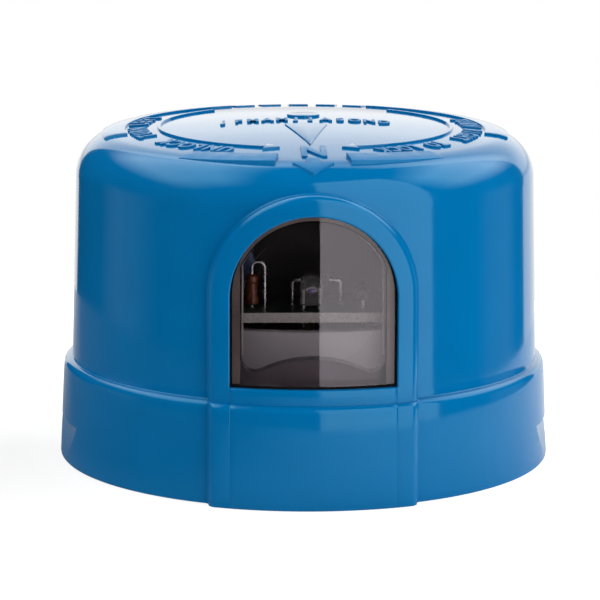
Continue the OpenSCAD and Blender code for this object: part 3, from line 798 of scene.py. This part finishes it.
def inner_profile():
    """Half section of the inside, from the rim up to the middle of the top"""
    points = [(SKIRT_IN_R + RIM_EDGE, 0), (SKIRT_IN_R, RIM_EDGE)]
    points += [(SKIRT_IN_R, z) for z in steps(RIM_EDGE, SHELF_Z, 6)[1:]]
    points += [(dome_radius(z, -WALL), z) for z in steps(SHELF_Z, ROUND_Z, 24)]
    points += arc((ROUND_R, ROUND_Z), TOP_ROUND - WALL, DOME_DRAFT, ROUND_TO, ROUND_STEPS)[1:]
    edge = ROUND_R + (TOP_ROUND - WALL) * math.cos(ROUND_TO)
    points += [(r, top_height(r, -WALL)) for r in steps(edge, AXIS_R, 8)[1:]]
    return points


def shell_angles():
    """Angles from the front, closer together across the two pry pockets"""
    fine = steps(PRY_ANGLE - PRY_REACH, PRY_ANGLE + PRY_REACH, 72)
    pockets = [a for f in fine for a in (f, 360 - f)]
    clear = PRY_REACH + PRY_MARGIN
    plain = [a for a in steps(0, 360, 240)[:-1] if abs(min(a, 360 - a) - PRY_ANGLE) > clear]
    return sorted(plain + pockets)


def pocket_cut(r, angle, z):
    """Radius after a pry pocket has cut a slanting flat into the skirt"""
    off = min(angle, 360 - angle) - PRY_ANGLE
    if abs(off) > PRY_REACH or not PRY_RISE <= z <= PRY_H:
        return r
    flat = RIM_R - PRY_DEPTH * (z - PRY_RISE) / (PRY_H - PRY_RISE)
    return min(r, flat / math.cos(math.radians(off)))


def in_arch(x, z, half, low):
    """If a point of the front view lies in an arch of that half width"""
    if z > ARCH_Z:
        return math.hypot(x, z - ARCH_Z) < half
    return abs(x) < half and z > low


def build_shell():
    bm = bmesh.new()
    angles = shell_angles()
    outer = [[around(pocket_cut(r, a, z), a, z) for a in angles] for r, z in outer_profile()]
    inner = [[around(r, a, z) for a in angles] for r, z in inner_profile()]
    hidden_half = WINDOW_HALF + FRAME_W * SHELL_UNDER_FRAME

    def outside_window(p):
        return p.y > 0 or not in_arch(p.x, p.z, hidden_half, SILL_Z - SHELL_UNDER_SILL)

    add_grid(bm, outer + inner, wrap=True, keep=outside_window)
    obj = finish_piece("cover_shell", bm, "blue_plastic")
    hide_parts("cover")


# Raised frame round the window, the sill and the block below them on the skirt


def front_point(x, z, grow):
    """Point of the front view, put on the dome's wall grown outwards by grow"""
    r = dome_radius(z, grow)
    return (x, -math.sqrt(max(r * r - x * x, 0)), z)


def raised_side(width, top):
    """Side of the frame or block from its root up to its rounded edge: distance out, and height"""
    root = (width + FRAME_ROOT, FRAME_ROOT - ROOT_SINK)
    points = arc(root, FRAME_ROOT, 1.5 * math.pi, math.pi, 5)
    points += arc((width - FRAME_EDGE, top - FRAME_EDGE), FRAME_EDGE, 0, math.pi / 2, 7)
    return points


def frame_section(edge_in):
    """Section across the frame: distance out from the opening, and height above the dome"""
    top = FRAME_RAISE
    points = raised_side(FRAME_W, top)
    points += [(u, top) for u in steps(FRAME_W - FRAME_EDGE, edge_in, 5)[1:-1]]
    points += arc((edge_in, top - edge_in), edge_in, math.pi / 2, math.pi, 5)
    points += [(0, h) for h in steps(top - edge_in, -WALL, 5)[1:]]
    points += [(u, -WALL) for u in steps(0, FRAME_W * FRAME_BACK, 3)[1:]]
    return points


def arch_path():
    """Points of the opening's outline with their outward direction, up, over and down"""
    heights = steps(SKIRT_H - FRAME_BELOW, SILL_Z, 3) + [SILL_Z + EDGE_TURN[0]]
    heights += steps(SILL_Z + EDGE_TURN[1], ARCH_Z, 8)
    left = [((-WINDOW_HALF, z), (-1, 0)) for z in heights]
    crown = []
    for a in steps(math.pi, 0, FRONT_STEPS)[1:-1]:
        out = (math.cos(a), math.sin(a))
        crown.append(((WINDOW_HALF * out[0], ARCH_Z + WINDOW_HALF * out[1]), out))
    right = [((-x, z), (-ox, oz)) for (x, z), (ox, oz) in reversed(left)]
    return left + crown + right


def build_frame():
    """Frame, with a parting line where the sill meets it and a rounded edge above"""
    bm = bmesh.new()
    rows = []
    for (x, z), (out_x, out_z) in arch_path():
        above_sill = z > SILL_Z + EDGE_TURN[0] / 2
        section = frame_section(OPENING_EDGE if above_sill else PARTING_EDGE)
        rows.append([front_point(x + u * out_x, z + u * out_z, h) for u, h in section])
    add_grid(bm, rows)
    finish_piece("cover_window_frame", bm, "blue_plastic")


def build_sill():
    bm = bmesh.new()
    edge = OPENING_EDGE
    section = [(z, FRAME_RAISE) for z in steps(SKIRT_H - FRAME_BELOW, SILL_Z - edge, 4)]
    section += [(SILL_Z - edge + edge * math.sin(a), FRAME_RAISE - edge + edge * math.cos(a))
                for a in steps(0, math.pi / 2, 5)[1:]]
    section += [(SILL_Z, h) for h in steps(FRAME_RAISE - edge, -WALL, 5)[1:]]
    section += [(z, -WALL) for z in steps(SILL_Z, SILL_Z - SILL_BACK, 2)[1:]]
    flush = WINDOW_HALF - PARTING_EDGE
    columns = [(-WINDOW_HALF, -PARTING_EDGE)]
    columns += [(x, 0) for x in steps(-flush, flush, 40)]
    columns += [(WINDOW_HALF, -PARTING_EDGE)]
    rows = [[front_point(x, z, h + dip) for x, dip in columns] for z, h in section]
    add_grid(bm, rows)
    finish_piece("cover_sill", bm, "blue_plastic")


def skirt_profile(grow):
    """Section of the block on the skirt: up from the rim, round the edge and in to the dome"""
    points = [(RIM_R + grow - RIM_EDGE * RIM_FOOT, 0)]
    points += arc((RIM_R + grow - RIM_EDGE, RIM_EDGE), RIM_EDGE, -math.pi / 3, 0, 3)
    points += [(skirt_radius(z) + grow, z) for z in steps(RIM_EDGE, SKIRT_H - SKIRT_EDGE, 8)[1:-1]]
    centre = (SKIRT_TOP_R + grow - SKIRT_EDGE / math.cos(SKIRT_DRAFT), SKIRT_H - SKIRT_EDGE)
    points += arc(centre, SKIRT_EDGE, SKIRT_DRAFT, math.pi / 2, 7)
    points += [(DOME_R - BLOCK_TUCK, SKIRT_H)]
    return points


def block_columns():
    """Places across the block with their height above the skirt, and a groove at each side"""
    top = SKIRT_RAISE
    groove = PARTING_EDGE
    side = raised_side(FRAME_HALF, top)
    side += [(WINDOW_HALF + 2 * groove, top), (WINDOW_HALF, top - groove)]
    side += [(WINDOW_HALF - 2 * groove, top)]
    even = WINDOW_HALF - GROOVE_CLEAR
    middle = [(x, top) for x in steps(-even, even, 30)]
    return [(-x, h) for x, h in side] + middle + list(reversed(side))


def build_block():
    bm = bmesh.new()
    columns = block_columns()
    profiles = [skirt_profile(h) for _, h in columns]
    rows = []
    for level in range(len(profiles[0])):
        row = []
        for (x, _), profile in zip(columns, profiles):
            r, z = profile[level]
            row.append((x, -math.sqrt(r * r - x * x), z))
        rows.append(row)
    add_grid(bm, rows)
    finish_piece("cover_skirt_block", bm, "blue_plastic")


# Marks raised on the top


def inset(points, distance):
    """A closed outline moved inwards, for outlines that run anticlockwise"""
    moved = []
    count = len(points)
    for i, here in enumerate(points):
        before = Vector(here) - Vector(points[i - 1])
        after = Vector(points[(i + 1) % count]) - Vector(here)
        n0 = Vector((-before.y, before.x)).normalized()
        n1 = Vector((-after.y, after.x)).normalized()
        share = max(1 + n0.dot(n1), CORNER_LIMIT)
        moved.append(tuple(Vector(here) + (n0 + n1) * (distance / share)))
    return moved


def on_top(x, y, grow):
    """Point of the plan, put on the top grown outwards by grow"""
    return (x, y, top_height(math.hypot(x, y), grow))


def edge_levels():
    """Steps up the side of a mark and round its edge: distance in, and depth below its top"""
    levels = [(0, None), (0, MARK_EDGE)]
    levels += [(MARK_EDGE * (1 - math.cos(a)), MARK_EDGE * (1 - math.sin(a)))
               for a in steps(0, math.pi / 2, 3)[1:]]
    return levels


def mark_level(height, depth):
    """Height above the top for a depth below a mark's height, or the mark's foot for no depth"""
    return MARK_FOOT if depth is None else max(height - depth, MARK_FOOT)


def add_raised(bm, outline):
    """A low mark with a small outline, its upper edge rounded"""
    rows = [[on_top(x, y, mark_level(MARK_H, depth)) for x, y in inset(outline, d)]
            for d, depth in edge_levels()]
    grid = add_grid(bm, rows, wrap=True)
    bm.faces.new(grid[-1])


def add_ring_mark(bm, r0, r1, start, end, heights=(MARK_H, MARK_H)):
    """A low mark along part of a ring on the crown, from its first height to its second"""
    levels = edge_levels()
    edge = MARK_EDGE
    across = [(r0 + d, depth) for d, depth in levels]
    across += [(r, 0) for r in steps(r0 + edge, r1 - edge, 6)[1:-1]]
    across += [(r1 - d, depth) for d, depth in reversed(levels)]
    per_mm = math.degrees(1 / r0)
    count = max(2, int((end - start) / RING_STEP))
    along = [(start + d * per_mm, depth) for d, depth in levels]
    along += [(a, 0) for a in steps(start + edge * per_mm, end - edge * per_mm, count)[1:-1]]
    along += [(end - d * per_mm, depth) for d, depth in reversed(levels)]
    rows = []
    for angle, deep in along:
        share = (angle - start) / (end - start)
        height = heights[0] + (heights[1] - heights[0]) * share
        row = []
        for r, depth in across:
            x, y, _ = around(r, angle, 0)
            row.append(on_top(x, y, min(mark_level(height, depth), mark_level(height, deep))))
        rows.append(row)
    add_grid(bm, rows)


def turned(points, angle):
    """Outline that is drawn at the front, turned about the axis towards +X"""
    a = math.radians(angle)
    cos, sin = math.cos(a), math.sin(a)
    return [(x * cos - y * sin, x * sin + y * cos) for x, y in points]


def mirrored(points):
    """Outline at the other side, in the order that keeps it anticlockwise"""
    return [(-x, y) for x, y in reversed(points)]


def add_side_marks(bm):
    """Turn arrows and ridges, one of each at either side"""
    half = TURN_W / 2
    head = turned([(HEAD_LAP, -TURN_R - HEAD_W / 2), (HEAD_LAP, -TURN_R + HEAD_W / 2),
                   (-HEAD_LEN, -TURN_R)], TURN_SPAN[0])
    add_raised(bm, head)
    add_raised(bm, mirrored(head))
    for r0, r1, span in ((TURN_R - half, TURN_R + half, TURN_SPAN), (*RIDGE_R, RIDGE_SPAN)):
        add_ring_mark(bm, r0, r1, *span)
        add_ring_mark(bm, r0, r1, -span[1], -span[0])


def add_needle(bm):
    """Long pointer with a low ridge along its middle"""
    low = NEEDLE_H - NEEDLE_SLOPE
    rows = []
    for y in steps(-NEEDLE_FOOT, -NEEDLE_TIP, 12):
        half = NEEDLE_W / 2 * (NEEDLE_TIP + y) / (NEEDLE_TIP - NEEDLE_FOOT) + NEEDLE_BLUNT
        left = [(-half, MARK_FOOT), (-half, low - NEEDLE_EDGE), (-half * NEEDLE_SHOULDER, low)]
        across = left + [(0, NEEDLE_H)] + mirrored(left)
        rows.append([on_top(x, y, h) for x, h in across])
    back = [(x, y, min(z, top_height(math.hypot(x, y), MARK_FOOT))) for x, y, z in rows[0]]
    add_grid(bm, [back] + rows)


def build_marks():
    bm = bmesh.new()
    add_side_marks(bm)
    for middle in DASH_ANGLES:
        add_ring_mark(bm, *RIDGE_R, middle - DASH_HALF, middle + DASH_HALF, (DASH_H, DASH_H))
    add_needle(bm)
    add_raised(bm, arc((0, SUN_Y), SUN_R, 0, 2 * math.pi, 40)[:-1])
    finish_piece("cover_top_marks", bm, "blue_plastic")


def build_pads():
    """Etched pads at either side of the front, and the pointer between them"""
    bm = bmesh.new()
    add_ring_mark(bm, *RIDGE_R, *PAD_SPAN, PAD_HEIGHTS)
    add_ring_mark(bm, *RIDGE_R, -PAD_SPAN[1], -PAD_SPAN[0], PAD_HEIGHTS[::-1])
    right = [(POINTER_HALF, -POINTER_Y), (STEM_HALF, -POINTER_Y), (STEM_HALF, -STEM_Y)]
    add_raised(bm, mirrored(right) + [(0, -POINTER_TIP)] + right)
    finish_piece("cover_top_pads", bm, "blue_plastic", "etched_blue")


def add_letter(bm, letter, size, spot, narrow=1.0):
    """A raised letter or figure, centred on its own width, put in place by the matrix spot"""
    curve = bpy.data.curves.new("letter", "FONT")
    curve.body = letter
    curve.size = size * MM
    curve.align_x = "CENTER"
    curve.align_y = "CENTER"
    curve.offset = size * LETTER_BOLD * MM
    curve.extrude = LETTER_H / 2 * MM
    curve.bevel_depth = LETTER_EDGE * MM
    curve.bevel_resolution = 1
    curve.resolution_u = 4
    obj = bpy.data.objects.new("letter", curve)
    mesh = obj.to_mesh()
    mesh.transform(spot @ Matrix.Diagonal((narrow, 1, 1, 1)))
    bm.from_mesh(mesh)
    obj.to_mesh_clear()
    bpy.data.objects.remove(obj)
    bpy.data.curves.remove(curve)


def letter_spot(x, y, up):
    """Matrix for a letter that lies on the crown at (x, y), with its head towards up in plan"""
    normal = (Vector((x, y, top_height(math.hypot(x, y)))) - Vector((0, 0, CROWN_Z))).normalized()
    right = Vector((up[0], up[1], 0)).cross(normal).normalized()
    head = normal.cross(right)
    place = Vector(on_top(x, y, LETTER_H / 2)) * MM
    return Matrix.Translation(place) @ Matrix((right, head, normal)).transposed().to_4x4()


def build_lettering():
    """Plain words for turning, a north letter and a row of the months' first letters"""
    bm = bmesh.new()
    for word, first, pitch, narrow in WORDS:
        for i, letter in enumerate(word):
            x, y, _ = around(WORD_R, first + pitch * i, 0)
            if letter != " ":
                add_letter(bm, letter, WORD_SIZE, letter_spot(x, y, (x, y)), narrow)
    add_letter(bm, "N", NORTH_SIZE, letter_spot(NORTH_X, -NORTH_Y, (0, 1)), NORTH_NARROW)
    for i, letter in enumerate(MONTHS):
        x = ROW_PITCH * (i - (len(MONTHS) - 1) / 2) + ROW_X
        y = ROW_Y - x * x / (2 * ROW_R)
        add_letter(bm, letter, ROW_SIZE, letter_spot(x, y, (0, 1)), ROW_NARROW)
    finish_piece("cover_top_lettering", bm, "blue_plastic", "etched_blue")


def build_beads():
    """Snap beads inside the skirt that hold the base up"""
    bm = bmesh.new()
    face, root = SKIRT_IN_R - BEAD_T, SKIRT_IN_R + BEAD_ROOT
    low, high = BEAD_Z
    edge = BEAD_EDGE
    section = [(root, low - edge), (face + edge, low), (face, low + edge),
               (face, high - edge), (face + edge, high), (root, high)]
    for middle in BEAD_ANGLES:
        start, end = middle - BEAD_SPAN / 2, middle + BEAD_SPAN / 2
        along = [(start, BEAD_FALL), (start + BEAD_TURN, 0)]
        along += [(a, 0) for a in steps(start + BEAD_EVEN, end - BEAD_EVEN, 8)]
        along += [(end - BEAD_TURN, 0), (end, BEAD_FALL)]
        add_grid(bm, [[around(r + back, a, z) for r, z in section] for a, back in along])
    finish_piece("cover_snap_beads", bm, "blue_plastic")


# Fine parts of the window: the painted highlight along the edge of its pocket, the cloud in its
# rim, and the seal at its foot, which also paints the gap's shadow


def pocket_outline():
    """Front view of the pocket behind the pane, anticlockwise, with two lobes at its foot"""
    half = WINDOW_HALF - POCKET_SIDE
    crown = WINDOW_HALF - POCKET_TOP
    start = math.acos(half / crown)
    low = SILL_Z + POCKET_FOOT
    lobe_x = half - POCKET_CORNER
    drop = POCKET_CORNER - POCKET_RISE
    hump_r = (lobe_x ** 2 + drop ** 2 - POCKET_CORNER ** 2) / (2 * POCKET_RISE)
    hump_z = low + POCKET_RISE - hump_r
    lean = math.atan2(low + POCKET_CORNER - hump_z, lobe_x)
    points = arc((0, ARCH_Z), crown, start, math.pi - start, 48)
    points += [(-half, z) for z in steps(points[-1][1], low + POCKET_CORNER, 12)[1:-1]]
    points += arc((-lobe_x, low + POCKET_CORNER), POCKET_CORNER, math.pi, 2 * math.pi - lean, 10)
    points += arc((0, hump_z), hump_r, math.pi - lean, lean, 20)[1:-1]
    points += arc((lobe_x, low + POCKET_CORNER), POCKET_CORNER, math.pi + lean, 2 * math.pi, 10)
    points += [(half, z) for z in steps(low + POCKET_CORNER, points[0][1], 12)[1:-1]]
    return points


def build_painted_pocket_highlight():
    """Painted highlight: a fine, pale round line along the back edge of the pocket, above its
    lobes, standing in for the light that edge catches
    """
    bm = bmesh.new()
    outline = pocket_outline()
    centre = (POCKET_LINE_OFF, -WALL - FLANGE_T + POCKET_LINE_OFF)
    rows = []
    for u, v in arc(centre, POCKET_LINE, 0, 2 * math.pi, 8):
        rows.append([front_point(x, z, v) for x, z in inset(outline, u)])
    add_grid(bm, rows, wrap=True, keep=lambda p: p.z > POCKET_LINE_LOW)
    finish_piece("window_painted_pocket_highlight", bm, "smoked_window", "painted_edge_highlight")


def build_rim_frost():
    """Cloudy layer in the rim, up one side, over the arch and down the other"""
    bm = bmesh.new()
    side = WINDOW_HALF - POCKET_SIDE + FROST_GAP
    crown = WINDOW_HALF - POCKET_TOP + FROST_GAP
    edge = WINDOW_HALF - 2 * FROST_GAP
    legs = steps(SILL_Z + 2 * FROST_GAP, ARCH_Z, 8)[:-1]
    inner = [(side, z) for z in legs]
    outer = [(edge, z) for z in legs]
    for x, z in arc((0, 0), 1, 0, math.pi, FRONT_STEPS):
        inner.append((max(-side, min(side, crown * x)), ARCH_Z + crown * z))
        outer.append((edge * x, ARCH_Z + edge * z))
    inner += [(-side, z) for z in reversed(legs)]
    outer += [(-edge, z) for z in reversed(legs)]
    near, far = WINDOW_FACE - FROST_DEPTH, WINDOW_FACE - FROST_DEPTH - FROST_T
    levels = ((inner, near), (outer, near), (outer, far), (inner, far), (inner, near))
    add_grid(bm, [[front_point(x, z, g) for x, z in line] for line, g in levels])
    finish_piece("window_rim_frost", bm, "smoked_window", "rim_frost")


def build_seal_and_gap_shadow():
    """Dark seal between pane and frame, along the foot and up both sides, where it thins out; it
    also paints the shadow of the gap between pane and frame
    """
    bm = bmesh.new()
    outline = arc((0, ARCH_Z), WINDOW_HALF, 0, math.pi, FRONT_STEPS)
    outline += [(-WINDOW_HALF, z) for z in steps(ARCH_Z, SILL_Z, 8)[1:]]
    outline += [(x, SILL_Z) for x in steps(-WINDOW_HALF, WINDOW_HALF, 24)[1:-1]]
    outline += [(WINDOW_HALF, z) for z in steps(SILL_Z, ARCH_Z, 8)[:-1]]
    narrow, wide = inset(outline, SEAL_SHADOW_GAP), inset(outline, SEAL_SHADOW_W)

    def seal_shadow_row(share, h):
        row = []
        for (x0, z0), (x1, z1) in zip(narrow, wide):
            # The seal thins out up the sides, as the painted gap shadow fades
            part = share * min(1, max(0, (ARCH_Z + SEAL_SHADOW_TAPER - z0) / SEAL_SHADOW_TAPER))
            row.append(front_point(x0 + (x1 - x0) * part, z0 + (z1 - z0) * part, WINDOW_FACE + h))
        return row

    rows = [seal_shadow_row(share, h) for share, h in SEAL_SHADOW_SECTION]
    add_grid(bm, rows, wrap=True, keep=lambda p: p.z < ARCH_Z + SEAL_SHADOW_TAPER)
    finish_piece("window_seal_and_gap_shadow", bm, "gasket_rubber", "seal_and_gap_shadow")


# Inside of the clear light sensor


def add_dish(bm, centre, profile, flat=1.0):
    """A round piece that faces the front, from its (radius, depth) profile, flattened in height"""
    rows = []
    for r, depth in profile:
        y = centre[1] + depth
        rows.append([(centre[0] + r * math.cos(a), y, centre[2] + r * flat * math.sin(a))
                     for a in steps(0, 2 * math.pi, 28)[:-1]])
    add_grid(bm, rows, wrap=True)


def add_leg(bm, x0, x1, front, foot, top):
    """A leg of the lead frame, its face slightly rounded, that leans forward towards its top"""
    left, right = x0 + LEG_EDGE, x1 - LEG_EDGE
    rows = []
    for z, depth in zip((foot, foot + LEG_STRAIGHT, (foot + top) / 2, top), LEG_DEPTHS):
        y = front + depth
        near, far = y - LEG_BULGE, y + LEG_T
        rows.append([(x0, y, z), (left, near, z), (right, near, z),
                     (x1, y, z), (right, far, z), (left, far, z)])
    grid = add_grid(bm, rows, wrap=True)
    bm.faces.new(grid[-1])
    bm.faces.new(list(reversed(grid[0])))


def build_sensor_die():
    """Chip in a bright dish with its bond beside it, on the two legs of the lead frame; the pale
    bond also paints a highlight dot beside the chip
    """
    low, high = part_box("light_sensor")
    middle = (low[0] + high[0]) / 2 / MM
    front = low[1] / MM + DIE_DEPTH
    bottom = low[2] / MM
    spot = (middle, front, bottom + DIE_Z)
    bm = bmesh.new()
    add_dish(bm, spot, DIE_PROFILE, DIE_FLAT)
    finish_piece("sensor_die", bm, "clear_epoxy", "die_film")
    bm = bmesh.new()
    add_dish(bm, spot, DISH_PROFILE, DIE_FLAT)
    # Pale bond beside the chip, which also paints its highlight dot
    add_dish(bm, (middle + BOND_HIGHLIGHT_X, front, spot[2]), BOND_HIGHLIGHT_PROFILE)
    finish_piece("sensor_dish", bm, "clear_epoxy", "silver_plate")
    bm = bmesh.new()
    for x0, x1, drop in LEGS:
        add_leg(bm, middle + x0, middle + x1, front, bottom + LEG_FOOT, spot[2] - drop)
    finish_piece("sensor_lead_frame", bm, "clear_epoxy", "silver_plate")


build_shell()
build_frame()
build_sill()
build_block()
build_marks()
build_pads()
build_lettering()
build_beads()
build_painted_pocket_highlight()
build_rim_frost()
build_seal_and_gap_shadow()
build_sensor_die()
